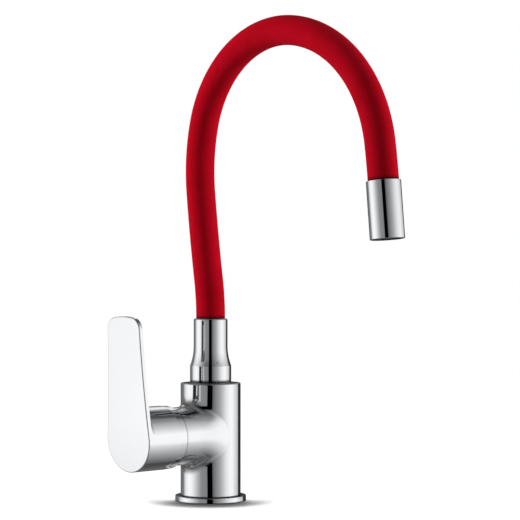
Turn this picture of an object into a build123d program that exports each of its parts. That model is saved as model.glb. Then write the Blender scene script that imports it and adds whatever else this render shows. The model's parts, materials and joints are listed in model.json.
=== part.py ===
from build123d import *
import math
import os

# Flexible kitchen tap: a bent spout hose in a rubber sleeve on a swivelling collar, a chrome body
# with a side branch for the ceramic cartridge, and a flat paddle lever on the end of the branch.
# Millimetres. The origin is the centre of the base on the deck, Z is up, the spout reaches along X
# and the branch along minus Y.

# Body: the branch closes round the cartridge nut, and column and base ring grow from it
cartridge_diameter = 35.0
nut_step = 1.5
branch_wall = 3.6
branch_height = 52.5
branch_reach = 45.8
branch_fillet = 8.0
column_oversize = 1.1
column_rise = 40.4
body_wall = 4.0
ring_ledge = 4.25
ring_height = 4.2

# Lever: hub over the branch's mouth and flat paddle, whose lean angle is in degrees
hub_wall = 1.55
hub_clearance = 0.2
rim_gap = 0.8
paddle_standoff = 39.7
paddle_lean_angle = 3.3
paddle_thickness = 3.5
paddle_height = 94.6
paddle_tip_width = 37.2
paddle_waist_width = 41.2

# Ceramic cartridge: depths of its pieces along the branch, and the stem's arm on its pivot
base_depth = 7.0
disc_depth = 3.0
carrier_depth = 5.0
flange_depth = 2.1
lid_depth = 2.7
shell_neck_length = 4.4
nut_length = 8.0
ball_radius = 3.0
ball_seat_depth = 1.3
stem_width = 8.0
stem_arm = 7.5
disc_offset = 1.6

# Cartridge: steps between the radii of its pieces
shell_wall = 3.25
shell_step = 2.0
guide_ledge = 3.25
fixed_disc_gap = 0.75
disc_margin = 3.75
port_radius = 3.0
port_inset = 5.5

# Spout collar and nozzle
collar_wall = 1.65
collar_flare = 2.9
collar_foot_height = 12.9
collar_sweep_height = 15.6
collar_neck_length = 21.7
nozzle_lip = 1.1
nozzle_wall = 0.9

# Bent spout: radius and angle in degrees, positive towards X, of its bends from collar to nozzle
heel_radius = 200.0
heel_angle = -9.0
rise_radius = 1330.0
rise_angle = 3.0
shoulder_radius = 153.0
shoulder_angle = 20.4
crown_radius = 89.5
crown_angle = 82.2
drop_radius = 105.7
drop_angle = 75.0
end_radius = 530.0
end_angle = 3.0
spout_bends = [
    (heel_angle, heel_radius),
    (rise_angle, rise_radius),
    (shoulder_angle, shoulder_radius),
    (crown_angle, crown_radius),
    (drop_angle, drop_radius),
    (end_angle, end_radius),
]
hinge_count = 8
sleeve_diameter = 22.9
sleeve_wall = 1.95
gooseneck_wall = 2.2
hose_wall = 2.6
link_gap = 4.0

# Swivel socket in the column's top
socket_radius = 11.05
socket_depth = 19.0
slip_washer_thickness = 0.6

# Fits
running_clearance = 0.1
pin_clearance = 0.05
ball_clearance = 0.2
easy_clearance = 0.3
thread_clearance = 0.05
overrun = 1.0
edge_tolerance = 0.01

# Outer radii and levels of the body
cartridge_radius = cartridge_diameter / 2
nut_radius = cartridge_radius + nut_step
branch_radius = nut_radius + thread_clearance + branch_wall
column_radius = branch_radius + column_oversize
ring_radius = column_radius + ring_ledge
column_height = branch_height + column_rise
collar_foot = column_height + slip_washer_thickness

# The branch frame: local X is X, local Y is up and local Z runs out along the branch
branch_frame = Plane(origin=(0, 0, branch_height), x_dir=(1, 0, 0), z_dir=(0, -1, 0))

# Stations along the branch, counted inwards from its mouth to the seat and out to the pivot
cap_spigot_depth = 1.6
nut_gap = 0.2
shoulder_reach = branch_reach - cap_spigot_depth - nut_gap - nut_length
lid_end = shoulder_reach + shell_neck_length
lid_reach = lid_end - lid_depth
guide_reach = lid_reach - easy_clearance - flange_depth
carrier_end = guide_reach - easy_clearance
carrier_reach = carrier_end - carrier_depth
moving_disc_reach = carrier_reach - disc_depth
fixed_disc_reach = moving_disc_reach - disc_depth
seat_reach = fixed_disc_reach - base_depth
ball_reach = carrier_reach + ball_seat_depth + ball_clearance + ball_radius
pivot_reach = ball_reach + stem_arm

# The cap is a ball about the lever's pivot through the branch's mouth, and the hub turns over it
cap_radius = math.hypot(branch_radius, branch_reach - pivot_reach)
hub_bore_radius = cap_radius + hub_clearance
hub_radius = hub_bore_radius + hub_wall
rim_reach = branch_reach + rim_gap

# Radii inside the cartridge
shell_bore_radius = cartridge_radius - shell_wall
shell_neck_radius = cartridge_radius - shell_step
guide_neck_radius = shell_bore_radius - guide_ledge
fixed_disc_radius = shell_bore_radius - fixed_disc_gap
disc_radius = shell_bore_radius - disc_margin

# Centres of the two inlet ports and the outlet port, as seen from the outside of the branch
inlet_port_side = fixed_disc_radius - port_inset
inlet_port_drop = inlet_port_side / 2
outlet_port_rise = inlet_port_side
port_centres = [
    (-inlet_port_side, -inlet_port_drop),
    (inlet_port_side, -inlet_port_drop),
    (0, outlet_port_rise),
]

# Radii of the spout's layers, each sliding in the one round it
sleeve_radius = sleeve_diameter / 2
sleeve_bore_radius = sleeve_radius - sleeve_wall
gooseneck_radius = sleeve_bore_radius - easy_clearance
gooseneck_bore_radius = gooseneck_radius - gooseneck_wall
hose_radius = gooseneck_bore_radius - easy_clearance
hose_bore_radius = hose_radius - hose_wall
neck_bore_radius = sleeve_radius + easy_clearance
collar_neck_radius = neck_bore_radius + collar_wall
collar_foot_radius = collar_neck_radius + collar_flare
collar_foot_top = collar_foot + collar_foot_height
collar_neck_start = collar_foot_top + collar_sweep_height
collar_top = collar_neck_start + collar_neck_length


def tube(outer, inner, low, high):
    """A plain ring or tube standing on Z between two heights."""
    return Pos(0, 0, low) * extrude(Circle(outer) - Circle(inner), high - low)


def rod(radius, low, high):
    return Pos(0, 0, low) * extrude(Circle(radius), high - low)


def turned(*edges):
    """A solid of revolution about Z from a closed outline of radius and height."""
    outline = make_face(Plane.XZ * Wire(list(edges)))
    return revolve(outline, Axis.Z)


def turned_polygon(*points):
    return revolve(make_face(Plane.XZ * Polyline(*points, close=True)), Axis.Z)


def cross_hole(radius, near, far, reach, direction):
    """A hole across the branch frame, from near to far along the given local direction."""
    start = Vector(*direction) * near + Vector(0, 0, reach)
    return Plane(origin=start, z_dir=direction) * rod(radius, 0, far - near)


# Route of the bent spout: a straight run up the collar, the bends, a straight run into the nozzle
def bend_lengths():
    return [abs(math.radians(turn)) * radius for turn, radius in spout_bends]


visible_length = sum(bend_lengths())
hinge_pitch = visible_length / hinge_count


def route_pose(distance):
    """Place and heading, in degrees from Z towards X, at a distance past the collar's mouth."""
    x, z, heading = 0.0, collar_top, 0.0
    if distance <= 0:
        return x, z + distance, heading
    left = distance
    for (turn, radius), length in zip(spout_bends, bend_lengths()):
        part = min(left, length)
        swept = math.radians(turn) * part / length
        middle = math.radians(heading) + swept / 2
        chord = 2 * radius * math.sin(abs(swept) / 2)
        x += chord * math.sin(middle)
        z += chord * math.cos(middle)
        heading += math.degrees(swept)
        left -= part
        if left <= 0:
            return x, z, heading
    x += left * math.sin(math.radians(heading))
    z += left * math.cos(math.radians(heading))
    return x, z, heading


def route_point(distance):
    x, z, _ = route_pose(distance)
    return (x, 0, z)


def route_frame(distance):
    """A frame on the route whose Z axis runs along it and whose Y axis is the world's."""
    x, z, heading = route_pose(distance)
    turn = math.radians(heading)
    along = (math.sin(turn), 0, math.cos(turn))
    inside = (math.cos(turn), 0, -math.sin(turn))
    return Plane(origin=(x, 0, z), x_dir=inside, z_dir=along)


def route_path(start, end):
    """The route between two distances, as lines and arcs that meet tangentially."""
    stations = [0.0]
    for length in bend_lengths():
        stations.append(stations[-1] + length)
    marks = [start] + [s for s in stations if start < s < end] + [end]
    edges = []
    for low, high in zip(marks, marks[1:]):
        straight = high <= 0 or low >= visible_length
        if straight:
            edges.append(Line(route_point(low), route_point(high)))
        else:
            middle = (low + high) / 2
            edges.append(ThreePointArc(route_point(low), route_point(middle), route_point(high)))
    return Wire(edges)


def route_tube(outer, inner, start, end):
    """A tube of two radii along the route between two distances."""
    section = Circle(outer) - Circle(inner)
    return sweep(route_frame(start) * section, path=route_path(start, end))


# Body casting
cavity_drop = 25.5
cavity_radius = column_radius - body_wall
cavity_top = branch_height - cavity_drop
seat_wall = 6.0
inlet_thread_radius = 4.5
inlet_thread_depth = 12.0
inlet_side = inlet_port_side
inlet_back = seat_reach - port_radius - seat_wall
stud_thread_radius = 3.4
stud_thread_depth = 12.0
stud_margin = 8.5
stud_back = cavity_radius - stud_margin
peg_radius = 2.0
peg_length = 3.0
peg_inset = 5.5
peg_side = cartridge_radius - peg_inset
peg_rise = peg_side / 2
socket_floor = column_height - socket_depth
swivel_groove_rise = 7.0
swivel_groove_height = socket_floor + swivel_groove_rise
swivel_screw_radius = 2.4


# The branch's root, from its round start inwards: reach in column radii, share of the way that its
# half width has grown towards the column's radius, and half height in branch radii
root_start = 1.4316
root_sections = [
    (1.1368, 0.136, 1.0155),
    (0.8842, 0.409, 1.0861),
    (0.6737, 0.636, 1.2362),
    (0.4632, 0.818, 1.5011),
    (0.2526, 0.909, 1.9426),
    (0.0, 0.9545, 2.649),
]
root_margin = 1.5


def branch_root():
    """The branch's foot, which grows in height until it runs into the sides of the column."""
    sections = [branch_frame * Pos(0, 0, root_start * column_radius) * Circle(branch_radius)]
    for reach, spread, rise in root_sections:
        half_width = branch_radius + spread * column_oversize
        shape = Ellipse(half_width, rise * branch_radius)
        sections.append(branch_frame * Pos(0, 0, reach * column_radius) * shape)
    limit = column_rise - root_margin
    return loft(sections) & rod(2 * branch_reach, branch_height - limit, branch_height + limit)


def meets_column(edge):
    """Whether an edge is curved and lies on the column's surface."""
    if edge.geom_type in (GeomType.LINE, GeomType.CIRCLE):
        return False
    points = [edge @ share for share in (0.1, 0.5, 0.9)]
    return all(abs(math.hypot(point.X, point.Y) - column_radius) < edge_tolerance for point in points)


def body_blank():
    """Column and branch as one casting, with the fillet where they meet."""
    top_round = 0.9
    column = rod(column_radius, ring_height, column_height)
    branch = branch_frame * rod(branch_radius, root_start * column_radius, branch_reach)
    blank = column + (branch_root() + branch)
    blank = fillet([edge for edge in blank.edges() if meets_column(edge)], branch_fillet)
    rim = blank.edges().filter_by(GeomType.CIRCLE).group_by(Axis.Z)[-1]
    return fillet(rim, top_round)


def waterways():
    """Threaded inlets from below, passages to the cartridge seat and the way up to the spout."""
    inlet_top = cavity_top + inlet_thread_depth
    port_level = branch_height - inlet_port_drop
    outlet_level = branch_height + outlet_port_rise
    cuts = []
    for side in (-inlet_side, inlet_side):
        cuts.append(Pos(side, -inlet_back, 0) * rod(inlet_thread_radius, cavity_top, inlet_top))
        cuts.append(Pos(side, -inlet_back, 0) * rod(port_radius, inlet_top, port_level + port_radius))
    for side, rise in port_centres:
        back = 0 if side == 0 else inlet_back
        cuts.append(branch_frame * Pos(side, rise, 0) * rod(port_radius, back, seat_reach))
    cuts.append(rod(port_radius, outlet_level - port_radius, socket_floor))
    cuts.append(Pos(0, stud_back, 0) * rod(stud_thread_radius, cavity_top, cavity_top + stud_thread_depth))
    return cuts


def cartridge_pocket():
    """The stepped bore of the branch and the two holes for the cartridge's locating pegs."""
    bore = rod(cartridge_radius + easy_clearance, seat_reach, shoulder_reach)
    mouth = rod(nut_radius + thread_clearance, shoulder_reach, branch_reach + overrun)
    cuts = [branch_frame * bore, branch_frame * mouth]
    for side in (-peg_side, peg_side):
        hole = rod(peg_radius + running_clearance, seat_reach - peg_length - easy_clearance, seat_reach)
        cuts.append(branch_frame * Pos(side, peg_rise, 0) * hole)
    return cuts


def swivel_screw_frame():
    return Plane(origin=(0, 0, swivel_groove_height), z_dir=(0, 1, 0))


def faucet_body():
    cavity = rod(cavity_radius, 0, cavity_top)
    socket = rod(socket_radius, socket_floor, column_height + overrun)
    screw_hole = rod(swivel_screw_radius + thread_clearance, 0, column_radius + overrun)
    cuts = [cavity, socket, swivel_screw_frame() * screw_hole]
    cuts += cartridge_pocket()
    cuts += waterways()
    return body_blank() - cuts


# Base ring and its seal
spigot_height = 2.0
spigot_wall = 3.0
seal_margin = 2.4
seal_width = 4.0
seal_thickness = 2.0
seal_outer_radius = ring_radius - seal_margin
seal_inner_radius = seal_outer_radius - seal_width


def base_ring():
    """The flat foot ring, with a spigot that centres it in the body."""
    spigot_radius = cavity_radius - running_clearance
    edge_round = 0.5
    foot = tube(ring_radius, spigot_radius - spigot_wall, 0, ring_height)
    foot = fillet(foot.edges().group_by(Axis.Z)[-1].sort_by(SortBy.RADIUS)[-1], edge_round)
    spigot = tube(spigot_radius, spigot_radius - spigot_wall, ring_height, ring_height + spigot_height)
    seal_groove = tube(seal_outer_radius, seal_inner_radius, 0, seal_thickness)
    return foot + spigot - seal_groove


def base_seal():
    inner = seal_inner_radius + thread_clearance
    outer = seal_outer_radius - thread_clearance
    return tube(outer, inner, 0, seal_thickness)


# Cartridge, built in the branch frame and placed at the end
port_seal_width = 2.0
port_seal_thickness = 1.6
port_seal_radius = port_radius + port_seal_width


def cartridge_base():
    plate = rod(cartridge_radius, seat_reach, fixed_disc_reach)
    groove_radius = port_seal_radius + running_clearance
    groove_end = seat_reach + port_seal_thickness
    for side, rise in port_centres:
        plate -= Pos(side, rise, 0) * rod(port_radius, seat_reach, fixed_disc_reach)
        plate -= Pos(side, rise, 0) * rod(groove_radius, seat_reach, groove_end)
    for side in (-peg_side, peg_side):
        plate += Pos(side, peg_rise, 0) * rod(peg_radius, seat_reach - peg_length, seat_reach)
    return branch_frame * plate


def port_seals():
    inner = port_radius + running_clearance
    seal = tube(port_seal_radius, inner, seat_reach, seat_reach + port_seal_thickness)
    return Compound([branch_frame * Pos(side, rise, 0) * seal for side, rise in port_centres])


def fixed_disc():
    disc = rod(fixed_disc_radius, fixed_disc_reach, moving_disc_reach)
    for side, rise in port_centres:
        disc -= Pos(side, rise, 0) * rod(port_radius, fixed_disc_reach, moving_disc_reach)
    return branch_frame * disc


def moving_disc():
    """The sliding disc, shut at rest, with the mixing recess on its working face."""
    recess_rim = 4.0
    recess_depth = 1.5
    disc = rod(disc_radius, moving_disc_reach, carrier_reach)
    disc -= rod(disc_radius - recess_rim, moving_disc_reach, moving_disc_reach + recess_depth)
    return branch_frame * Pos(0, -disc_offset, 0) * disc


def disc_carrier():
    """The plastic carrier on the moving disc, with the socket that the stem's ball pushes."""
    carrier = Pos(0, -disc_offset, 0) * rod(disc_radius, carrier_reach, carrier_end)
    socket = rod(ball_radius + ball_clearance, carrier_reach + ball_seat_depth, carrier_end)
    return branch_frame * (carrier - socket)


def cartridge_shell():
    """The cartridge's cup, with the shoulder that the nut presses on and the lid for the guide."""
    neck_bore = guide_neck_radius + easy_clearance
    return branch_frame * turned_polygon(
        (cartridge_radius, fixed_disc_reach),
        (cartridge_radius, shoulder_reach),
        (shell_neck_radius, shoulder_reach),
        (shell_neck_radius, lid_end),
        (neck_bore, lid_end),
        (neck_bore, lid_reach),
        (shell_bore_radius, lid_reach),
        (shell_bore_radius, fixed_disc_reach),
    )


guide_beyond_pivot = 7.0
slot_end_wall = 2.8
pin_radius = 1.75
pin_inset = 0.5


def stem_guide():
    """The turning guide: a flanged neck with the slot in which the stem tilts on its pin."""
    guide_end = pivot_reach + guide_beyond_pivot
    slot_height = 2 * (guide_neck_radius - slot_end_wall)
    slot_width = stem_width + 2 * easy_clearance
    hole_radius = pin_radius + pin_clearance
    flange = rod(shell_bore_radius - easy_clearance, guide_reach, guide_reach + flange_depth)
    neck = rod(guide_neck_radius, guide_reach, guide_end)
    slot = Pos(0, 0, guide_reach) * extrude(Rectangle(slot_width, slot_height), guide_end)
    pin_hole = cross_hole(hole_radius, -guide_neck_radius, guide_neck_radius, pivot_reach, (1, 0, 0))
    return branch_frame * (flange + neck - slot - pin_hole)


def stem_pin():
    half_length = guide_neck_radius - pin_inset
    return branch_frame * cross_hole(pin_radius, -half_length, half_length, pivot_reach, (1, 0, 0))


# Stations of the lever's inside, counted from the paddle's face
paddle_reach = branch_reach + paddle_standoff
hub_face_depth = 7.0
boss_length = 11.1
boss_wall = 4.0
stem_end_gap = 4.0
grub_screw_inset = 4.6
hub_floor_reach = paddle_reach - hub_face_depth
boss_reach = hub_floor_reach - boss_length
boss_radius = stem_width / 2 + boss_wall
stem_end = hub_floor_reach - stem_end_gap
grub_screw_reach = boss_reach + grub_screw_inset


def stem():
    """The square steel stem, round at its inner end where the ball works the disc carrier."""
    neck_radius = 2.4
    neck_length = 3.8
    square_reach = ball_reach + neck_length
    ball = Pos(0, 0, ball_reach) * Sphere(ball_radius)
    neck = rod(neck_radius, ball_reach, square_reach)
    bar = Pos(0, 0, square_reach) * extrude(Rectangle(stem_width, stem_width), stem_end - square_reach)
    pin_hole = cross_hole(pin_radius + pin_clearance, -stem_width, stem_width, pivot_reach, (1, 0, 0))
    return branch_frame * (ball + neck + bar - pin_hole)


def cartridge_nut():
    """The ring nut that holds the cartridge down, with spanner slots in its outer face."""
    slot_count = 6
    slot_width = 3.0
    slot_depth = 2.5
    nut_end = shoulder_reach + nut_length
    nut = tube(nut_radius, shell_neck_radius + easy_clearance, shoulder_reach, nut_end)
    slot_floor = Plane(origin=(nut_radius / 2, 0, nut_end - slot_depth))
    slot = slot_floor * extrude(Rectangle(nut_radius + overrun, slot_width), nut_length)
    for turn in range(slot_count):
        nut -= Rot(0, 0, turn * 360 / slot_count) * slot
    return branch_frame * nut


def dome_cap():
    """The chrome cap, a ball zone about the lever's pivot that the hub swings over."""
    wall = 1.6
    foot_depth = 1.5
    lip = 3.0
    foot_wall = 2.0
    opening_radius = nut_radius - lip
    foot_inner_radius = nut_radius - foot_wall
    outer = cap_radius
    inner = outer - wall
    foot_end = branch_reach + foot_depth

    def ball_point(radius, reach):
        return (math.sqrt(radius**2 - (reach - pivot_reach) ** 2), reach)

    def ball_middle(radius, first, second):
        bearing = (math.asin((first - pivot_reach) / radius) + math.asin((second - pivot_reach) / radius)) / 2
        return (radius * math.cos(bearing), pivot_reach + radius * math.sin(bearing))

    outer_end = pivot_reach + math.sqrt(outer**2 - opening_radius**2)
    inner_end = pivot_reach + math.sqrt(inner**2 - opening_radius**2)
    outer_start = (branch_radius, branch_reach)
    inner_start = ball_point(inner, foot_end)
    spigot_radius = nut_radius - thread_clearance
    spigot_start = branch_reach - cap_spigot_depth
    outer_arc = ThreePointArc(
        outer_start, ball_middle(outer, branch_reach, outer_end), (opening_radius, outer_end)
    )
    inner_arc = ThreePointArc(
        (opening_radius, inner_end), ball_middle(inner, foot_end, inner_end), inner_start
    )
    rim = Line((opening_radius, outer_end), (opening_radius, inner_end))
    foot = Polyline(
        inner_start,
        (foot_inner_radius, foot_end),
        (foot_inner_radius, spigot_start),
        (spigot_radius, spigot_start),
        (spigot_radius, branch_reach),
        outer_start,
    )
    return branch_frame * turned(outer_arc, rim, inner_arc, *foot.edges())


# Lever
paddle_frame = Plane(
    origin=(0, 0, paddle_reach),
    x_dir=(1, 0, 0),
    z_dir=(0, -math.sin(math.radians(paddle_lean_angle)), math.cos(math.radians(paddle_lean_angle))),
)


def paddle_outline():
    """The paddle seen along the branch: round below, drawn in to a waist, with a bowed tip."""
    leave_angle = 10.0
    waist_share = 0.5
    shoulder_share = 0.93
    tip_crown = 2.8
    corner_round = 9.5
    leave = math.radians(leave_angle)
    side_start = (hub_radius * math.cos(leave), hub_radius * math.sin(leave))
    waist = (paddle_waist_width / 2, paddle_height * waist_share)
    shoulder = (paddle_tip_width / 2, paddle_height - tip_crown)
    tip = (0, paddle_height)

    def mirrored(point):
        return (-point[0], point[1])

    outline = [
        ThreePointArc(mirrored(side_start), (0, -hub_radius), side_start),
        ThreePointArc(side_start, waist, shoulder),
        ThreePointArc(shoulder, tip, mirrored(shoulder)),
        ThreePointArc(mirrored(shoulder), mirrored(waist), mirrored(side_start)),
    ]
    face = make_face(Wire(outline))
    corners = [v for v in face.vertices() if v.Y > paddle_height * shoulder_share]
    return fillet(corners, corner_round)


def paddle_depth(point):
    """How far a point stands out from the paddle's front face."""
    return (point - paddle_frame.origin).dot(paddle_frame.z_dir)


def lever_blank():
    """Hub and paddle in one piece, in the branch frame."""
    junction_round = 2.5
    face_round = 0.8
    rim_bevel_length = 6.3
    rim_bevel_depth = 0.4
    beyond = 2 * paddle_height
    front = paddle_frame * extrude(Rectangle(beyond, 2 * beyond), beyond)
    back_frame = paddle_frame * Pos(0, 0, -paddle_thickness)
    back = back_frame * extrude(Rectangle(beyond, 2 * beyond), -beyond)
    rim_radius = hub_radius - rim_bevel_depth
    bevel_reach = rim_reach + rim_bevel_length
    hub = turned_polygon(
        (0, rim_reach), (rim_radius, rim_reach), (hub_radius, bevel_reach), (hub_radius, beyond), (0, beyond)
    )
    hub -= front
    blade = extrude(paddle_outline(), beyond) - front - back
    blank = hub + blade
    joint_edges = [
        edge
        for edge in blank.edges()
        if abs(paddle_depth(edge @ 0.5) + paddle_thickness) < edge_tolerance
        and math.hypot((edge @ 0.5).X, (edge @ 0.5).Y) < hub_radius + edge_tolerance
    ]
    blank = fillet(joint_edges, junction_round)
    face_edges = [edge for edge in blank.edges() if abs(paddle_depth(edge @ 0.5)) < edge_tolerance]
    return fillet(face_edges, face_round)


# Set screws: both take the same key
key_width = 2.5
key_depth = 2.5
grub_screw_radius = 2.5
grub_screw_length = 7.0
plug_radius = 3.0


def key_socket(frame):
    """The hexagonal hole for the key, cut inwards from a screw's end."""
    return frame * extrude(RegularPolygon(key_width / 2, side_count=6, major_radius=False), -key_depth)


def lever_handle():
    """The chrome lever: hollow hub over the cap, boss on the stem, and the paddle."""
    down = (0, -1, 0)
    cavity = rod(hub_bore_radius, 0, hub_floor_reach) - rod(boss_radius, boss_reach, hub_floor_reach)
    hole_width = stem_width + 2 * pin_clearance
    hole_start = boss_reach - overrun
    hole_end = stem_end + running_clearance
    stem_hole = Pos(0, 0, hole_start) * extrude(Rectangle(hole_width, hole_width), hole_end - hole_start)
    screw_hole = cross_hole(grub_screw_radius, 0, boss_radius + overrun, grub_screw_reach, down)
    hole_inner = hub_bore_radius - overrun
    hole_outer = hub_radius + overrun
    access_hole = cross_hole(plug_radius, hole_inner, hole_outer, grub_screw_reach, down)
    return branch_frame * (lever_blank() - [cavity, stem_hole, screw_hole, access_hole])


def lever_grub_screw():
    """A socket set screw from below that holds the lever on the stem."""
    tip = stem_width / 2
    end = tip + grub_screw_length
    down = (0, -1, 0)
    screw = cross_hole(grub_screw_radius - thread_clearance, tip, end, grub_screw_reach, down)
    end_frame = Plane(origin=(0, -end, grub_screw_reach), z_dir=down)
    return branch_frame * (screw - key_socket(end_frame))


def screw_plug():
    """The small plug, flush with the hub, that covers the set screw."""
    down = (0, -1, 0)
    start = hub_bore_radius
    plug = cross_hole(plug_radius - thread_clearance, start, hub_radius + overrun, grub_screw_reach, down)
    return branch_frame * (plug & rod(hub_radius, 0, stem_end))


# Swivel joint: nipple in the socket, its rings and screw, and the hose tail above it
nipple_flange_depth = 5.4
stalk_length = 6.3
tail_length = 15.0
tail_wall = 1.2
ring_section = 1.15
low_ring_rise = 3.0
high_ring_drop = 4.5
groove_depth = 1.65
washer_inset = 1.0
ferrule_wall = 0.75
ferrule_length = 9.5
collar_foot_wall = 2.25
flange_seat_radius = collar_foot_radius - collar_foot_wall
flange_top = collar_foot + nipple_flange_depth
hose_start = flange_top + stalk_length
tail_radius = hose_bore_radius - running_clearance
tail_bore = tail_radius - tail_wall
groove_radius = socket_radius - groove_depth
o_ring_heights = (socket_floor + low_ring_rise, column_height - high_ring_drop)


def swivel_washer():
    inner = socket_radius + easy_clearance
    outer = collar_foot_radius - washer_inset
    return tube(outer, inner, column_height, collar_foot)


def barbed_tail(start, length):
    """Outline points of a hose tail with three barbs, from its root to its tip."""
    barb_count = 3
    barb_depth = 0.4
    pitch = length / barb_count
    points = []
    for barb in range(barb_count):
        low = start + barb * pitch
        points += [(tail_radius, low), (tail_radius - barb_depth, low + pitch)]
    return points


def spout_nipple():
    """The brass nipple: grooved spigot in the body, flange in the collar and barbed hose tail."""
    end_gap = 1.0
    groove_half_width = 1.9
    spigot_radius = socket_radius - running_clearance
    spigot_end = socket_floor + end_gap
    stalk_radius = hose_radius + thread_clearance + ferrule_wall
    body = turned_polygon(
        (tail_bore, spigot_end),
        (spigot_radius, spigot_end),
        (spigot_radius, collar_foot),
        (flange_seat_radius - thread_clearance, collar_foot),
        (flange_seat_radius - thread_clearance, flange_top),
        (stalk_radius, flange_top),
        (stalk_radius, hose_start),
        *barbed_tail(hose_start, tail_length),
        (tail_bore, hose_start + tail_length),
    )
    for height in o_ring_heights:
        half = ring_section + thread_clearance
        bottom = socket_radius - 2 * half
        body -= tube(socket_radius, bottom, height - half, height + half)
    low = swivel_groove_height - groove_half_width
    return body - tube(socket_radius, groove_radius, low, low + 2 * groove_half_width)


def spout_o_rings():
    major = socket_radius - thread_clearance - ring_section
    return Compound([Pos(0, 0, height) * Torus(major, ring_section) for height in o_ring_heights])


def swivel_screw():
    """The set screw at the back whose dog point runs in the nipple's groove."""
    point_radius = 1.4
    point_gap = 0.4
    shank_setback = 0.55
    shank_recess = 3.5
    point_start = groove_radius + point_gap
    shank_start = socket_radius + shank_setback
    shank_end = column_radius - shank_recess
    shank = rod(swivel_screw_radius, shank_start, shank_end)
    screw = shank + rod(point_radius, point_start, shank_start) - key_socket(Pos(0, 0, shank_end))
    return swivel_screw_frame() * screw


# Spout collar: stations of its inside, from the nipple's seat to the foot of the sleeve
seat_margin = 2.0
throat_length = 16.0
bush_gap = 3.7
bush_depth = 8.0
sleeve_gap = 0.5
seat_top = flange_top + seat_margin
throat = seat_top + throat_length
bush_start = throat + bush_gap
bush_end = bush_start + bush_depth
core_inset = collar_top - bush_start
sleeve_inset = collar_top - bush_end - sleeve_gap


def spout_collar():
    """The chrome collar: straight foot, hollow sweep to the neck and a rounded mouth."""
    mouth_round = 1.3
    sweep_radius = (collar_sweep_height**2 + collar_flare**2) / (2 * collar_flare)
    half_sweep = math.asin(collar_sweep_height / sweep_radius) / 2
    sweep_middle = (
        collar_neck_radius + sweep_radius * (1 - math.cos(half_sweep)),
        collar_neck_start - sweep_radius * math.sin(half_sweep),
    )
    sweep_foot = (collar_foot_radius, collar_foot_top)
    sweep_head = (collar_neck_radius, collar_neck_start)
    rest = Polyline(
        sweep_head,
        (collar_neck_radius, collar_top),
        (neck_bore_radius, collar_top),
        (neck_bore_radius, throat),
        (flange_seat_radius, seat_top),
        (flange_seat_radius, collar_foot),
        (collar_foot_radius, collar_foot),
        sweep_foot,
    )
    collar = turned(ThreePointArc(sweep_foot, sweep_middle, sweep_head), *rest.edges())
    mouth = collar.edges().group_by(Axis.Z)[-1].sort_by(SortBy.RADIUS)[-1]
    return fillet(mouth, mouth_round)


def ferrule(frame, start):
    inner = hose_radius + thread_clearance
    return frame * tube(inner + ferrule_wall, inner, start, start + ferrule_length)


def lower_ferrule():
    return ferrule(Plane.XY, hose_start + running_clearance)


def neck_bush():
    """The bush that holds the gooseneck's foot in the collar, below the sleeve."""
    inner = gooseneck_radius + thread_clearance
    return tube(neck_bore_radius - thread_clearance, inner, bush_start, bush_end)


# Nozzle, built along its own axis from its mouth on the sleeve and placed at the end of the route
nozzle_sleeve_depth = 8.0
nozzle_bush_depth = 5.7
ferrule_gap = 0.4
outlet_flange_depth = 4.0
washer_thickness = 1.5
washer_width = 4.7
aerator_depth = 12.2
aerator_recess = 1.0
aerator_wall = 2.5
aerator_lip = 0.8
screen_thickness = 1.2
nozzle_frame = route_frame(visible_length)
nozzle_radius = neck_bore_radius + nozzle_lip
nozzle_bore_radius = nozzle_radius - nozzle_wall
nozzle_bush_start = nozzle_sleeve_depth + easy_clearance
nozzle_bush_end = nozzle_bush_start + nozzle_bush_depth
upper_ferrule_start = nozzle_bush_end + ferrule_gap
hose_end = upper_ferrule_start + ferrule_length + running_clearance
outlet_flange_end = hose_end + outlet_flange_depth
aerator_start = outlet_flange_end + washer_thickness
aerator_end = aerator_start + aerator_depth
nozzle_length = aerator_end + aerator_recess
screen_start = aerator_end - aerator_lip - screen_thickness
aerator_radius = nozzle_bore_radius - thread_clearance
aerator_bore_radius = aerator_radius - aerator_wall


def nozzle_shell():
    """The chrome end tube, with a lip at the top that closes on the sleeve."""
    lip_depth = 2.0
    edge_round = 0.4
    shell = turned_polygon(
        (nozzle_radius, 0),
        (nozzle_radius, nozzle_length),
        (nozzle_bore_radius, nozzle_length),
        (nozzle_bore_radius, lip_depth),
        (neck_bore_radius, lip_depth),
        (neck_bore_radius, 0),
    )
    levels = shell.edges().filter_by(GeomType.CIRCLE).group_by(Axis.Z)
    ends = [level.sort_by(SortBy.RADIUS)[-1] for level in (levels[0], levels[-1])]
    return nozzle_frame * fillet(ends, edge_round)


def nozzle_bush():
    inner = gooseneck_radius + thread_clearance
    outer = nozzle_bore_radius - thread_clearance
    return nozzle_frame * tube(outer, inner, nozzle_bush_start, nozzle_bush_end)


def upper_ferrule():
    return ferrule(nozzle_frame, upper_ferrule_start)


def outlet_nipple():
    """The brass nipple in the nozzle, with its barbed tail up into the water hose."""
    tail = [(radius, 2 * hose_end - height) for radius, height in barbed_tail(hose_end, tail_length)]
    return nozzle_frame * turned_polygon(
        (tail_bore, outlet_flange_end),
        (aerator_radius, outlet_flange_end),
        (aerator_radius, hose_end),
        *tail,
        (tail_bore, hose_end - tail_length),
    )


def aerator_washer():
    outer = aerator_radius - easy_clearance
    return nozzle_frame * tube(outer, outer - washer_width, outlet_flange_end, aerator_start)


def aerator_housing():
    lip_inner = aerator_bore_radius - aerator_lip
    body = tube(aerator_radius, aerator_bore_radius, aerator_start, aerator_end)
    lip = tube(aerator_bore_radius, lip_inner, aerator_end - aerator_lip, aerator_end)
    return nozzle_frame * (body + lip)


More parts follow.
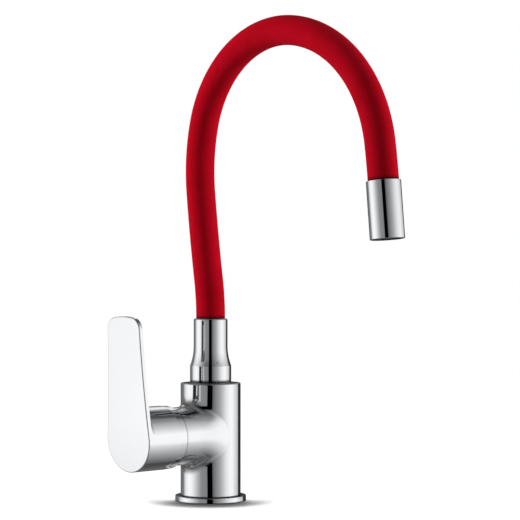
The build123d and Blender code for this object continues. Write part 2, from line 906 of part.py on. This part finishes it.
def aerator_insert():
    """The plastic flow regulator: a cup with a ring of inlet slots and an open lower end."""
    slot_count = 8
    slot_width = 2.0
    slot_height = 3.0
    wall = 1.4
    outer = aerator_bore_radius - running_clearance
    cup = rod(outer, aerator_start, screen_start) - rod(outer - wall, aerator_start + wall, screen_start)
    slot_foot = Plane(origin=(outer / 2, 0, aerator_start + wall))
    slot = slot_foot * extrude(Rectangle(outer + overrun, slot_width), slot_height)
    for turn in range(slot_count):
        cup -= Rot(0, 0, turn * 360 / slot_count) * slot
    return nozzle_frame * cup


def aerator_screen():
    """The outlet grid with its hexagonal cells."""
    cell_width = 2.7
    cell_bar = 0.7
    cell_angle = 30.0
    cell_rows = 5
    cell = RegularPolygon(cell_width / 2, side_count=6, major_radius=False, rotation=cell_angle)
    cells = HexLocations((cell_width + cell_bar) / 2, cell_rows, cell_rows, major_radius=False)
    outer = aerator_bore_radius - running_clearance
    clear_radius = outer - cell_width
    grid = Circle(outer) - [place * cell for place in cells if place.position.length < clear_radius]
    return nozzle_frame * Pos(0, 0, screen_start) * extrude(grid, screen_thickness)


# Bent spout: sleeve, gooseneck links and water hose
def spout_sleeve():
    end = visible_length + nozzle_sleeve_depth
    return route_tube(sleeve_radius, sleeve_bore_radius, -sleeve_inset, end)


def water_hose():
    return route_tube(hose_radius, hose_bore_radius, hose_start - collar_top, visible_length + hose_end)


def gooseneck_link(number):
    """One stretch of the gooseneck, between the bending points on either side of it."""
    first = number == 0
    last = number == hinge_count
    start = -core_inset if first else (number - 0.5) * hinge_pitch + link_gap / 2
    end = visible_length + nozzle_bush_end if last else (number + 0.5) * hinge_pitch - link_gap / 2
    return route_tube(gooseneck_radius, gooseneck_bore_radius, start, end)


parts = {
    "faucet_body": faucet_body,
    "base_ring": base_ring,
    "base_seal": base_seal,
    "cartridge_base": cartridge_base,
    "port_seals": port_seals,
    "fixed_disc": fixed_disc,
    "moving_disc": moving_disc,
    "disc_carrier": disc_carrier,
    "cartridge_shell": cartridge_shell,
    "stem_guide": stem_guide,
    "stem_pin": stem_pin,
    "stem": stem,
    "cartridge_nut": cartridge_nut,
    "dome_cap": dome_cap,
    "lever_handle": lever_handle,
    "lever_grub_screw": lever_grub_screw,
    "screw_plug": screw_plug,
    "swivel_washer": swivel_washer,
    "spout_nipple": spout_nipple,
    "spout_o_rings": spout_o_rings,
    "swivel_screw": swivel_screw,
    "spout_collar": spout_collar,
    "lower_ferrule": lower_ferrule,
    "neck_bush": neck_bush,
    "spout_sleeve": spout_sleeve,
    "water_hose": water_hose,
    "nozzle_shell": nozzle_shell,
    "nozzle_bush": nozzle_bush,
    "upper_ferrule": upper_ferrule,
    "outlet_nipple": outlet_nipple,
    "aerator_washer": aerator_washer,
    "aerator_housing": aerator_housing,
    "aerator_insert": aerator_insert,
    "aerator_screen": aerator_screen,
}

os.makedirs("parts", exist_ok=True)
for name, make in parts.items():
    export_step(make(), f"parts/{name}.step")
for number in range(hinge_count + 1):
    export_step(gooseneck_link(number), f"parts/gooseneck_link_{number + 1}.step")
print(f"spout visible length {visible_length:.1f}, hinge pitch {hinge_pitch:.2f}")
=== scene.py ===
import bpy
import json
import math
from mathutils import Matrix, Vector

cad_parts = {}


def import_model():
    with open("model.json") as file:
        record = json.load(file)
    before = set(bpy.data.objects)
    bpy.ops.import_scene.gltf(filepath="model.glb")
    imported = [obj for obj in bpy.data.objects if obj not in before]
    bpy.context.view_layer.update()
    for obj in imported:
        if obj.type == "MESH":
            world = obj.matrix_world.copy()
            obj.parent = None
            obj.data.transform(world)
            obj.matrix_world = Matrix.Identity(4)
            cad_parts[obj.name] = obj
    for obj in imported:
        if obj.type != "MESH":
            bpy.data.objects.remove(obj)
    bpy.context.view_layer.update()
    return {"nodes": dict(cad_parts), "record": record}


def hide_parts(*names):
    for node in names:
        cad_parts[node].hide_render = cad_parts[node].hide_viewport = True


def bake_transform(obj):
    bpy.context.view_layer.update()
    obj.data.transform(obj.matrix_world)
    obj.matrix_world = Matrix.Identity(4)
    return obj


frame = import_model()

MM = 0.001

# Camera fitted to the photograph, which is 520 by 520 pixels. Its places are in metres
PHOTO_SIZE = 520
FOCAL_PIXELS = 2000.0
SENSOR_WIDTH = 36.0
VIEW_TURN = math.radians(46.0)
CAMERA_DISTANCE = 1.584
CAMERA_SIDE = 0.0391
CAMERA_HEIGHT = 0.190

# Route of the spout past the collar's mouth: turn in degrees and radius of each bend
COLLAR_TOP = 0.1437
SPOUT_BENDS = [
    (-9.0, 200.0 * MM), (3.0, 1330.0 * MM), (20.4, 153.0 * MM),
    (82.2, 89.5 * MM), (75.0, 105.7 * MM), (3.0, 530.0 * MM),
]

# Bending points along that route, and a margin at both ends of a piece
HINGE_COUNT = 8
BEND_MARGIN = 2.0 * MM

# Values between which a noise texture mostly lies
NOISE_SPAN = (0.3, 0.7)

# Width of the shade in joints, near the deck and higher up, and the levels it changes between
CREVICE_WIDTHS = (1.2 * MM, 3.4 * MM)
CREVICE_LEVELS = (8.0 * MM, 20.0 * MM)

# The lamps aim at this point, and the wall of light stands round it
LIT_POINT = Vector((0.06, 0.0, 0.19))


# Materials
def combine(nodes, links, operation, first, second):
    """The result of one operation on two values, each of them a socket or a number."""
    node = nodes.new("ShaderNodeMath")
    node.operation = operation
    for socket, value in zip(node.inputs, (first, second)):
        if isinstance(value, float):
            socket.default_value = value
        else:
            links.new(value, socket)
    return node.outputs["Value"]


def rescale(nodes, links, value, source, target):
    """A socket's value taken from one range of numbers to another, and held inside it."""
    node = nodes.new("ShaderNodeMapRange")
    for name, number in zip(("From Min", "From Max", "To Min", "To Max"), source + target):
        node.inputs[name].default_value = number
    links.new(value, node.inputs["Value"])
    return node.outputs["Result"]


class Shader:
    """A node material whose colour, roughness and bump are built up call by call."""

    def __init__(self, name, metallic=0.0, specular=0.5):
        self.material = bpy.data.materials.new(name)
        self.material.use_nodes = True
        self.nodes = self.material.node_tree.nodes
        self.links = self.material.node_tree.links
        self.surface = self.nodes["Principled BSDF"]
        self.surface.inputs["Metallic"].default_value = metallic
        self.surface.inputs["Specular IOR Level"].default_value = specular
        self.place = self.nodes.new("ShaderNodeTexCoord").outputs["Object"]

    def noise(self, scale, detail=4.0, roughness=0.55, stretch=(1.0, 1.0, 1.0)):
        """A noise in the object's own space, with about scale bumps to the metre."""
        mapping = self.nodes.new("ShaderNodeMapping")
        mapping.inputs["Scale"].default_value = stretch
        self.links.new(self.place, mapping.inputs["Vector"])
        texture = self.nodes.new("ShaderNodeTexNoise")
        texture.inputs["Scale"].default_value = scale
        texture.inputs["Detail"].default_value = detail
        texture.inputs["Roughness"].default_value = roughness
        self.links.new(mapping.outputs["Vector"], texture.inputs["Vector"])
        return texture.outputs["Fac"]

    def ramp(self, factor, low, high, span=NOISE_SPAN):
        """A tone between two, as the factor rises through the span."""
        ramp = self.nodes.new("ShaderNodeValToRGB")
        for stop, place, tone in zip(ramp.color_ramp.elements, span, (low, high)):
            stop.position = place
            stop.color = (*tone, 1.0)
        self.links.new(factor, ramp.inputs["Fac"])
        return ramp.outputs["Color"]

    def spread(self, factor, low, high):
        """A number between two, as a noise goes through its span."""
        return rescale(self.nodes, self.links, factor, NOISE_SPAN, (low, high))

    def edges(self, radius, share):
        """How near a point is to a sharp edge, up to the given share on the edge itself."""
        flat_cosine = 0.999
        edge_cosine = 0.85
        rounded = self.nodes.new("ShaderNodeBevel")
        rounded.samples = 4
        rounded.inputs["Radius"].default_value = radius
        plain = self.nodes.new("ShaderNodeNewGeometry")
        turned = self.nodes.new("ShaderNodeVectorMath")
        turned.operation = "DOT_PRODUCT"
        self.links.new(rounded.outputs["Normal"], turned.inputs[0])
        self.links.new(plain.outputs["Normal"], turned.inputs[1])
        cosine = turned.outputs["Value"]
        cosines = (flat_cosine, edge_cosine)
        return rescale(self.nodes, self.links, cosine, cosines, (0.0, share))

    def paint_joint_shade(self, tone):
        """A colour with painted shade in joints, over a narrower band near the deck."""
        darkest = (0.03, 0.03, 0.03)
        unshaded = (1.0, 1.0, 1.0)
        axes = self.nodes.new("ShaderNodeSeparateXYZ")
        self.links.new(self.place, axes.inputs["Vector"])
        level = axes.outputs["Z"]
        width = rescale(self.nodes, self.links, level, CREVICE_LEVELS, CREVICE_WIDTHS)
        shade = self.nodes.new("ShaderNodeAmbientOcclusion")
        shade.samples = 8
        self.links.new(width, shade.inputs["Distance"])
        # Painted shade: near black where ambient occlusion finds other surfaces close by, as in
        # joints and corners
        painted_shade = self.ramp(shade.outputs["AO"], darkest, unshaded, span=(0.8, 0.98))
        mixed = self.nodes.new("ShaderNodeMix")
        mixed.data_type = "RGBA"
        mixed.blend_type = "MULTIPLY"
        mixed.inputs["Factor"].default_value = 1.0
        self.links.new(tone, mixed.inputs["A"])
        self.links.new(painted_shade, mixed.inputs["B"])
        return mixed.outputs["Result"]

    def colour(self, factor, low, high, joint_shade=False):
        """Base colour between two tones, with painted shade in joints if asked."""
        tone = self.ramp(factor, low, high)
        if joint_shade:
            tone = self.paint_joint_shade(tone)
        self.links.new(tone, self.surface.inputs["Base Color"])

    def gloss(self, factor, low, high, wear=None):
        """Roughness between two values, raised by a further map where one is given."""
        roughness = self.spread(factor, low, high)
        if wear is not None:
            roughness = combine(self.nodes, self.links, "ADD", roughness, wear)
        self.links.new(roughness, self.surface.inputs["Roughness"])

    def bump(self, factor, depth, strength=1.0):
        """Fine relief of the given depth, in metres."""
        node = self.nodes.new("ShaderNodeBump")
        node.inputs["Strength"].default_value = strength
        node.inputs["Distance"].default_value = depth
        self.links.new(factor, node.inputs["Height"])
        self.links.new(node.outputs["Normal"], self.surface.inputs["Normal"])


def chrome():
    """Bright plate with faint wiping marks, dull worn edges and shade in its joints."""
    shader = Shader("chrome_plate", metallic=1.0)
    # The plate's tone carries painted shade in its joints and corners
    shader.colour(shader.noise(9.0), (0.83, 0.84, 0.86), (0.88, 0.89, 0.91), joint_shade=True)
    worn = shader.edges(radius=0.5 * MM, share=0.16)
    grain = shader.noise(900.0, detail=3.0)
    wear = combine(shader.nodes, shader.links, "MULTIPLY", worn, grain)
    shader.gloss(shader.noise(30.0, detail=8.0, roughness=0.7), 0.02, 0.05, wear)
    shader.bump(shader.noise(55.0, detail=1.0), 0.004 * MM)
    return shader.material


def brass():
    shader = Shader("turned_brass", metallic=1.0)
    shader.colour(shader.noise(60.0), (0.62, 0.43, 0.16), (0.78, 0.58, 0.27))
    shader.gloss(shader.noise(200.0, stretch=(1.0, 1.0, 12.0)), 0.2, 0.38)
    shader.bump(shader.noise(900.0, stretch=(0.2, 0.2, 6.0)), 0.02 * MM)
    return shader.material


def steel():
    shader = Shader("bright_steel", metallic=1.0)
    shader.colour(shader.noise(80.0), (0.5, 0.51, 0.52), (0.66, 0.67, 0.68))
    shader.gloss(shader.noise(160.0, stretch=(6.0, 6.0, 1.0)), 0.18, 0.34)
    shader.bump(shader.noise(1200.0, stretch=(4.0, 4.0, 0.3)), 0.01 * MM)
    return shader.material


def silicone():
    shader = Shader("red_silicone", specular=0.04)
    mottle = shader.noise(45.0, detail=6.0)
    # The sleeve's red carries painted shade in its joints with other parts
    shader.colour(mottle, (0.47, 0.0005, 0.008), (0.56, 0.001, 0.014), joint_shade=True)
    shader.gloss(shader.noise(120.0, detail=6.0), 0.5, 0.62)
    shader.bump(shader.noise(1800.0, detail=3.0), 0.03 * MM, strength=0.5)
    return shader.material


def black_rubber():
    shader = Shader("black_rubber", specular=0.3)
    shader.colour(shader.noise(90.0), (0.012, 0.012, 0.012), (0.03, 0.03, 0.03))
    shader.gloss(shader.noise(300.0), 0.55, 0.75)
    shader.bump(shader.noise(2500.0), 0.02 * MM)
    return shader.material


def grey_plastic():
    shader = Shader("grey_plastic", specular=0.4)
    shader.colour(shader.noise(60.0), (0.24, 0.25, 0.26), (0.3, 0.31, 0.32))
    shader.gloss(shader.noise(400.0), 0.38, 0.5)
    shader.bump(shader.noise(3000.0), 0.01 * MM)
    return shader.material


def hose_plastic():
    shader = Shader("hose_plastic", specular=0.5)
    shader.colour(shader.noise(30.0), (0.7, 0.72, 0.74), (0.82, 0.84, 0.85))
    shader.gloss(shader.noise(200.0), 0.3, 0.42)
    shader.bump(shader.noise(1500.0), 0.01 * MM)
    return shader.material


def ceramic():
    shader = Shader("lapped_ceramic", specular=0.5)
    shader.colour(shader.noise(150.0), (0.84, 0.84, 0.82), (0.92, 0.92, 0.9))
    shader.gloss(shader.noise(500.0), 0.12, 0.22)
    shader.bump(shader.noise(4000.0), 0.003 * MM)
    return shader.material


MATERIALS = {
    "chrome": chrome(),
    "brass": brass(),
    "steel": steel(),
    "red_silicone": silicone(),
    "black_rubber": black_rubber(),
    "grey_plastic": grey_plastic(),
    "hose_plastic": hose_plastic(),
    "ceramic": ceramic(),
}


def dress_cad_nodes():
    """Gives every CAD node the material of its slot in the record."""
    for part in frame["record"]["subparts"]:
        node = frame["nodes"][part["node"]]
        node.data.materials.clear()
        node.data.materials.append(MATERIALS[part["material_slot"]])


# Route of the spout
def bend_lengths():
    return [abs(math.radians(turn)) * radius for turn, radius in SPOUT_BENDS]


VISIBLE_LENGTH = sum(bend_lengths())
HINGE_PITCH = VISIBLE_LENGTH / HINGE_COUNT


def route_pose(distance):
    """Point and heading, in radians from Z towards X, at a distance past the collar's mouth."""
    point = Vector((0.0, 0.0, COLLAR_TOP))
    heading = 0.0
    if distance <= 0:
        return point + Vector((0.0, 0.0, distance)), heading
    left = distance
    for (turn, radius), length in zip(SPOUT_BENDS, bend_lengths()):
        part = min(left, length)
        swept = math.radians(turn) * part / length
        chord = 2 * radius * math.sin(abs(swept) / 2)
        middle = heading + swept / 2
        point = point + chord * Vector((math.sin(middle), 0.0, math.cos(middle)))
        heading += swept
        left -= part
        if left <= 0:
            return point, heading
    return point + left * Vector((math.sin(heading), 0.0, math.cos(heading))), heading


def route_ring(distance, radius, sides):
    """A ring of points round the route, square to it."""
    centre, heading = route_pose(distance)
    inside = Vector((math.cos(heading), 0.0, -math.sin(heading)))
    across = Vector((0.0, 1.0, 0.0))
    ring = []
    for side in range(sides):
        turn = 2 * math.pi * side / sides
        ring.append(centre + radius * (math.cos(turn) * inside + math.sin(turn) * across))
    return ring


def closed_tube(name, outer_rings, inner_rings):
    """A tube mesh closed at both ends, from rings of the outer and inner wall."""
    sides = len(outer_rings[0])
    rings = outer_rings + inner_rings[::-1]
    points = [point for ring in rings for point in ring]
    faces = []
    for number in range(len(rings)):
        low = number * sides
        high = (number + 1) % len(rings) * sides
        for side in range(sides):
            after = (side + 1) % sides
            faces.append((low + side, low + after, high + after, high + side))
    mesh = bpy.data.meshes.new(name)
    mesh.from_pydata(points, [], faces)
    mesh.validate()
    smooth_mesh(mesh)
    piece = bpy.data.objects.new(name, mesh)
    bpy.context.collection.objects.link(piece)
    return piece


def smooth_mesh(mesh):
    sharp_angle = math.radians(35.0)
    mesh.shade_smooth()
    mesh.set_sharp_from_angle(angle=sharp_angle)


def flexible_layer(name, slot_name, replaced, start, end, step, sides, outer, inner):
    """One layer of the spout as a row of tubes along the route, one to each bending point.

    outer and inner give the wall's radii at a distance along the route.
    """
    for hinge in range(HINGE_COUNT):
        low = start if hinge == 0 else hinge * HINGE_PITCH
        high = end if hinge == HINGE_COUNT - 1 else (hinge + 1) * HINGE_PITCH
        count = max(2, round((high - low) / step))
        places = [low + (high - low) * index / count for index in range(count + 1)]
        outer_rings = [route_ring(place, outer(place), sides) for place in places]
        inner_rings = [route_ring(place, inner(place), sides) for place in places]
        piece = closed_tube(f"{name}_{hinge + 1}", outer_rings, inner_rings)
        piece.data.materials.append(MATERIALS[slot_name])
        # The photographed chrome shows no red, so the sleeve stays out of the reflections
        piece.visible_glossy = slot_name != "red_silicone"
        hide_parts(*replaced)
        blend_start = route_pose(hinge * HINGE_PITCH + BEND_MARGIN)[0]
        blend_end = route_pose((hinge + 1) * HINGE_PITCH - BEND_MARGIN)[0]
        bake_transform(piece)


def spout_sleeve():
    outer_radius = 11.45 * MM
    inner_radius = 9.5 * MM
    in_collar = 14.6 * MM
    in_nozzle = 8.0 * MM
    flexible_layer(
        "sleeve", "red_silicone", ["spout_sleeve"],
        start=-in_collar, end=VISIBLE_LENGTH + in_nozzle, step=2.0 * MM, sides=64,
        outer=lambda place: outer_radius, inner=lambda place: inner_radius,
    )


def gooseneck():
    """The wound steel tube under the sleeve, with the round back of each turn of its strip."""
    groove_radius = 8.7 * MM
    turn_rise = 0.5 * MM
    turn_pitch = 3.0 * MM
    inner_radius = 7.0 * MM
    in_collar = 23.1 * MM
    in_nozzle = 14.0 * MM
    links = [f"gooseneck_link_{number + 1}" for number in range(HINGE_COUNT + 1)]

    def wound(place):
        return groove_radius + turn_rise * abs(math.sin(math.pi * place / turn_pitch))

    flexible_layer(
        "gooseneck", "steel", links,
        start=-in_collar, end=VISIBLE_LENGTH + in_nozzle, step=0.75 * MM, sides=32,
        outer=wound, inner=lambda place: inner_radius,
    )


def water_hose():
    outer_radius = 6.7 * MM
    inner_radius = 4.1 * MM
    in_collar = 38.5 * MM
    in_nozzle = 24.0 * MM
    flexible_layer(
        "inner_hose", "hose_plastic", ["water_hose"],
        start=-in_collar, end=VISIBLE_LENGTH + in_nozzle, step=4.0 * MM, sides=32,
        outer=lambda place: outer_radius, inner=lambda place: inner_radius,
    )


# Studio
def view_vectors():
    """Across and away from the camera, both level."""
    across = Vector((math.cos(VIEW_TURN), math.sin(VIEW_TURN), 0.0))
    away = Vector((-math.sin(VIEW_TURN), math.cos(VIEW_TURN), 0.0))
    return across, away


def camera():
    across, away = view_vectors()
    data = bpy.data.cameras.new("camera")
    data.sensor_width = SENSOR_WIDTH
    data.lens = FOCAL_PIXELS / PHOTO_SIZE * SENSOR_WIDTH
    data.clip_end = 20.0
    holder = bpy.data.objects.new("camera", data)
    level = -CAMERA_DISTANCE * away + CAMERA_SIDE * across
    holder.location = level + Vector((0.0, 0.0, CAMERA_HEIGHT))
    holder.rotation_euler = (math.pi / 2, 0.0, VIEW_TURN)
    bpy.context.collection.objects.link(holder)
    bpy.context.scene.camera = holder


def ray_kind(nodes, name):
    return nodes.new("ShaderNodeLightPath").outputs[name]


def world():
    """White behind the object, and a dimmer even fill on it."""
    fill = 0.2
    made = bpy.data.worlds.new("studio")
    made.use_nodes = True
    nodes = made.node_tree.nodes
    links = made.node_tree.links
    seen = ray_kind(nodes, "Is Camera Ray")
    strength = rescale(nodes, links, seen, (0.0, 1.0), (fill, 1.0))
    background = nodes["Background"]
    background.inputs["Color"].default_value = (1.0, 1.0, 1.0, 1.0)
    links.new(strength, background.inputs["Strength"])
    bpy.context.scene.world = made


def closed_share(nodes, links, facing):
    """How much the object hides close by in a direction, seen from the floor, from 0 to 1."""
    reach = 28.5 * MM
    direction = nodes.new("ShaderNodeCombineXYZ")
    for socket, value in zip(direction.inputs, facing.normalized()):
        socket.default_value = value
    node = nodes.new("ShaderNodeAmbientOcclusion")
    node.samples = 16
    node.inputs["Distance"].default_value = reach
    links.new(direction.outputs["Vector"], node.inputs["Normal"])
    return combine(nodes, links, "SUBTRACT", 1.0, node.outputs["AO"])


def openness(nodes, links):
    """How lit the floor looks, from 0 to 1: less in front of the object, where its painted shadow
    lies.
    """
    back_lean = 8.0
    side_share = 0.6
    shade_depth = 7.0
    away = view_vectors()[1]
    up = Vector((0.0, 0.0, 1.0))
    behind = closed_share(nodes, links, back_lean * away + up)
    before = closed_share(nodes, links, up - back_lean * away)
    beside = combine(nodes, links, "MULTIPLY", before, side_share)
    shade = combine(nodes, links, "SUBTRACT", behind, beside)
    shade = combine(nodes, links, "MAXIMUM", shade, 0.0)
    lit = combine(nodes, links, "SUBTRACT", 1.0, shade)
    return combine(nodes, links, "POWER", lit, shade_depth)


def floor_material():
    """White to the camera but for a painted contact shadow, and a dimmer light from below."""
    seen_glow = 0.985
    bounce_glow = 0.3
    material = bpy.data.materials.new("floor_white")
    material.use_nodes = True
    nodes = material.node_tree.nodes
    links = material.node_tree.links
    surface = nodes["Principled BSDF"]
    surface.inputs["Base Color"].default_value = (0.12, 0.12, 0.12, 1.0)
    surface.inputs["Roughness"].default_value = 0.9
    surface.inputs["Specular IOR Level"].default_value = 0.0
    surface.inputs["Emission Color"].default_value = (1.0, 1.0, 1.0, 1.0)
    camera_ray = ray_kind(nodes, "Is Camera Ray")
    diffuse_ray = ray_kind(nodes, "Is Diffuse Ray")
    # The camera sees the floor's glow with a painted shadow where the object stands close
    seen = combine(nodes, links, "MULTIPLY", camera_ray, openness(nodes, links))
    seen = combine(nodes, links, "MULTIPLY", seen, seen_glow)
    bounced = combine(nodes, links, "MULTIPLY", diffuse_ray, bounce_glow)
    glow = combine(nodes, links, "MAXIMUM", seen, bounced)
    links.new(glow, surface.inputs["Emission Strength"])
    return material


def floor():
    """A plain white round floor just under the deck's level."""
    radius = 1.2
    sides = 96
    drop = 0.2 * MM
    turns = [2 * math.pi * side / sides for side in range(sides)]
    points = [(radius * math.cos(turn), radius * math.sin(turn), -drop) for turn in turns]
    mesh = bpy.data.meshes.new("floor")
    mesh.from_pydata(points, [], [tuple(range(sides))])
    mesh.materials.append(floor_material())
    ground = bpy.data.objects.new("floor", mesh)
    bpy.context.collection.objects.link(ground)
    ground.visible_glossy = False


# Brightness of the studio's wall of light, in rows at heights in degrees above WALL_MIDDLE. Each
# stop is a bearing and a brightness: 0 is the camera's side, and 90 is on the picture's right
LEVEL_LIGHT = [
    (-180, 0.05), (-160, 0.12), (-145, 0.17), (-126, 0.22), (-120, 0.5), (-113, 0.8),
    (-101, 1.02), (-90, 1.1), (-80, 1.04), (-71, 0.9), (-62, 0.73), (-54, 0.56), (-45, 0.42),
    (-37, 0.29), (-14, 0.24), (-12, 0.0), (6.5, 0.0), (8.5, 0.13), (19, 0.24), (35, 0.39),
    (44, 0.51), (53, 0.67), (62, 0.84), (71, 0.96), (82, 1.05), (92, 1.1), (104, 0.93),
    (117, 0.74), (131, 0.6), (135, 0.05), (158, 0.02), (180, 0.05),
]
LEFT_FADE = 0.88
RIGHT_FADE = 0.95
LOWER_LIGHT = [
    (bearing, shade * (LEFT_FADE if bearing < 0 else RIGHT_FADE)) for bearing, shade in LEVEL_LIGHT
]
WALL_ROWS = [
    (-76, [(-180, 0.2), (180, 0.2)]),
    (-58, [
        (-180, 0.1), (-120, 0.14), (-60, 0.14), (-12, 0.12), (6, 0.12), (40, 0.12), (120, 0.1),
        (180, 0.08),
    ]),
    (-47, [
        (-180, 0.1), (-135, 0.15), (-90, 0.3), (-40, 0.2), (-16, 0.14), (-12, 0.1), (6.5, 0.1),
        (10, 0.12), (60, 0.3), (110, 0.3), (125, 0.23), (136, 0.16), (146, 0.05), (157, 0.08),
        (180, 0.1),
    ]),
    (-41, [
        (-180, 0.1), (-150, 0.1), (-120, 0.3), (-90, 0.45), (-40, 0.24), (-16, 0.15),
        (-12, 0.08), (6.5, 0.08), (10, 0.12), (60, 0.4), (110, 0.4), (128, 0.2), (146, 0.05),
        (158, 0.09), (180, 0.12),
    ]),
    (-32, [
        (-180, 0.14), (-150, 0.1), (-130, 0.3), (-90, 0.6), (-45, 0.3), (-16, 0.2),
        (-12, 0.12), (6.5, 0.12), (10, 0.14), (40, 0.34), (70, 0.6), (100, 0.56), (114, 0.4),
        (130, 0.2), (150, 0.08), (167, 0.16), (180, 0.14),
    ]),
    (-22, [
        (-180, 0.1), (-150, 0.1), (-128, 0.2), (-113, 0.6), (-90, 0.85), (-62, 0.6),
        (-37, 0.28), (-14, 0.2), (-12, 0.03), (6.5, 0.03), (10, 0.13), (35, 0.35), (55, 0.55),
        (75, 0.8), (93, 0.76), (108, 0.6), (128, 0.4), (134, 0.08), (150, 0.06), (180, 0.1),
    ]),
    (-15, LOWER_LIGHT),
    (-10, LEVEL_LIGHT),
    (9, LEVEL_LIGHT),
    (22, [
        (-180, 0.8), (-164, 0.7), (-152, 0.1), (-128, 0.2), (-113, 0.7), (-90, 0.9),
        (-62, 0.6), (-37, 0.28), (-14, 0.2), (-12, 0.0), (6.5, 0.0), (10, 0.13), (35, 0.35),
        (55, 0.6), (72, 0.82), (93, 0.8), (108, 0.65), (126, 0.4), (132, 0.05), (150, 0.04),
        (164, 0.7), (180, 0.8),
    ]),
    (31, [
        (-180, 1.0), (-164, 0.9), (-152, 0.08), (-128, 0.15), (-113, 0.4), (-90, 0.6),
        (-60, 0.4), (-37, 0.2), (-14, 0.14), (-12, 0.0), (6.5, 0.0), (10, 0.12), (35, 0.28),
        (55, 0.45), (75, 0.62), (100, 0.61), (112, 0.4), (124, 0.2), (130, 0.06), (152, 0.06),
        (164, 0.9), (180, 1.0),
    ]),
    (38, [
        (-180, 0.4), (-160, 0.3), (-150, 0.06), (-120, 0.3), (-90, 0.4), (-38, 0.15),
        (-14, 0.1), (-12, 0.0), (6.5, 0.0), (10, 0.1), (55, 0.3), (90, 0.5), (108, 0.46),
        (118, 0.3), (127, 0.08), (150, 0.06), (160, 0.32), (180, 0.4),
    ]),
    (45, [
        (-180, 0.06), (-130, 0.1), (-90, 0.25), (-30, 0.1), (-12, 0.0), (6.5, 0.0), (20, 0.08),
        (90, 0.35), (117, 0.26), (127, 0.08), (140, 0.05), (180, 0.06),
    ]),
    (60, [(-180, 0.08), (-90, 0.16), (-12, 0.04), (6, 0.04), (90, 0.18), (180, 0.08)]),
    (76, [(-180, 0.14), (180, 0.14)]),
]
WALL_MIDDLE = 0.1


def shade_at(stops, bearing):
    """Brightness at a bearing, in proportion between the stops on both sides of it."""
    for (low, first), (high, second) in zip(stops, stops[1:]):
        if bearing <= high:
            return first + (second - first) * (bearing - low) / (high - low)
    return stops[-1][1]


def wall_mesh():
    """A round wall with a disc on top and below, and a brightness for each of its points."""
    distance = 1.1
    columns = 360
    across, away = view_vectors()
    centre = Vector((LIT_POINT.x, LIT_POINT.y, 0.0))
    points = []
    shades = []
    for height, stops in WALL_ROWS:
        rise = WALL_MIDDLE + distance * math.tan(math.radians(height))
        for column in range(columns + 1):
            bearing = -180.0 + 360.0 * column / columns
            turn = math.radians(bearing)
            level = centre + distance * (math.sin(turn) * across - math.cos(turn) * away)
            points.append(level + Vector((0.0, 0.0, rise)))
            shades.append(shade_at(stops, bearing))
    row = columns + 1
    faces = []
    for number in range(len(WALL_ROWS) - 1):
        for column in range(columns):
            low = number * row + column
            faces.append((low, low + 1, low + row + 1, low + row))
    for start in (0, row * (len(WALL_ROWS) - 1)):
        for column in range(columns):
            faces.append((start + column, start + column + 1, len(points)))
        points.append(Vector((centre.x, centre.y, points[start].z)))
        shades.append(shades[start])
    mesh = bpy.data.meshes.new("light_wall")
    mesh.from_pydata(points, [], faces)
    shade = mesh.attributes.new("shade", "FLOAT", "POINT")
    shade.data.foreach_set("value", shades)
    return mesh


def wall_material():
    """Glows as brightly as the mesh says at each point."""
    material = bpy.data.materials.new("light_wall")
    material.use_nodes = True
    nodes = material.node_tree.nodes
    links = material.node_tree.links
    nodes.remove(nodes["Principled BSDF"])
    light = nodes.new("ShaderNodeEmission")
    reader = nodes.new("ShaderNodeAttribute")
    reader.attribute_name = "shade"
    links.new(reader.outputs["Fac"], light.inputs["Strength"])
    links.new(light.outputs["Emission"], nodes["Material Output"].inputs["Surface"])
    return material


def light_wall():
    """A round wall of soft light and dark gaps that draws the bands in the chrome."""
    mesh = wall_mesh()
    mesh.materials.append(wall_material())
    wall = bpy.data.objects.new("light_wall", mesh)
    bpy.context.collection.objects.link(wall)
    wall.visible_camera = False
    wall.visible_diffuse = False
    wall.visible_shadow = False


def lamp(name, bearing, elevation, distance, width, height, power):
    """A soft area light aimed at LIT_POINT. Bearings are as on the wall of light."""
    across, away = view_vectors()
    turn = math.radians(bearing)
    rise = math.radians(elevation)
    level = math.sin(turn) * across - math.cos(turn) * away
    offset = distance * (math.cos(rise) * level + math.sin(rise) * Vector((0.0, 0.0, 1.0)))
    data = bpy.data.lights.new(name, "AREA")
    data.shape = "RECTANGLE"
    data.size = width
    data.size_y = height
    data.energy = power
    holder = bpy.data.objects.new(name, data)
    holder.location = LIT_POINT + offset
    holder.rotation_euler = (-offset).to_track_quat("-Z", "Y").to_euler()
    holder.visible_glossy = False
    bpy.context.collection.objects.link(holder)


def lamps():
    lamp("lamp_left", -92.0, 5.0, distance=1.2, width=0.4, height=0.9, power=14.0)
    lamp("lamp_right", 92.0, 5.0, distance=1.2, width=0.4, height=0.9, power=15.0)
    lamp("lamp_top", 0.0, 88.0, distance=1.4, width=1.0, height=1.0, power=3.0)


def render_settings():
    bpy.context.scene.view_settings.view_transform = "Standard"


dress_cad_nodes()
spout_sleeve()
gooseneck()
water_hose()
camera()
world()
floor()
light_wall()
lamps()
render_settings()
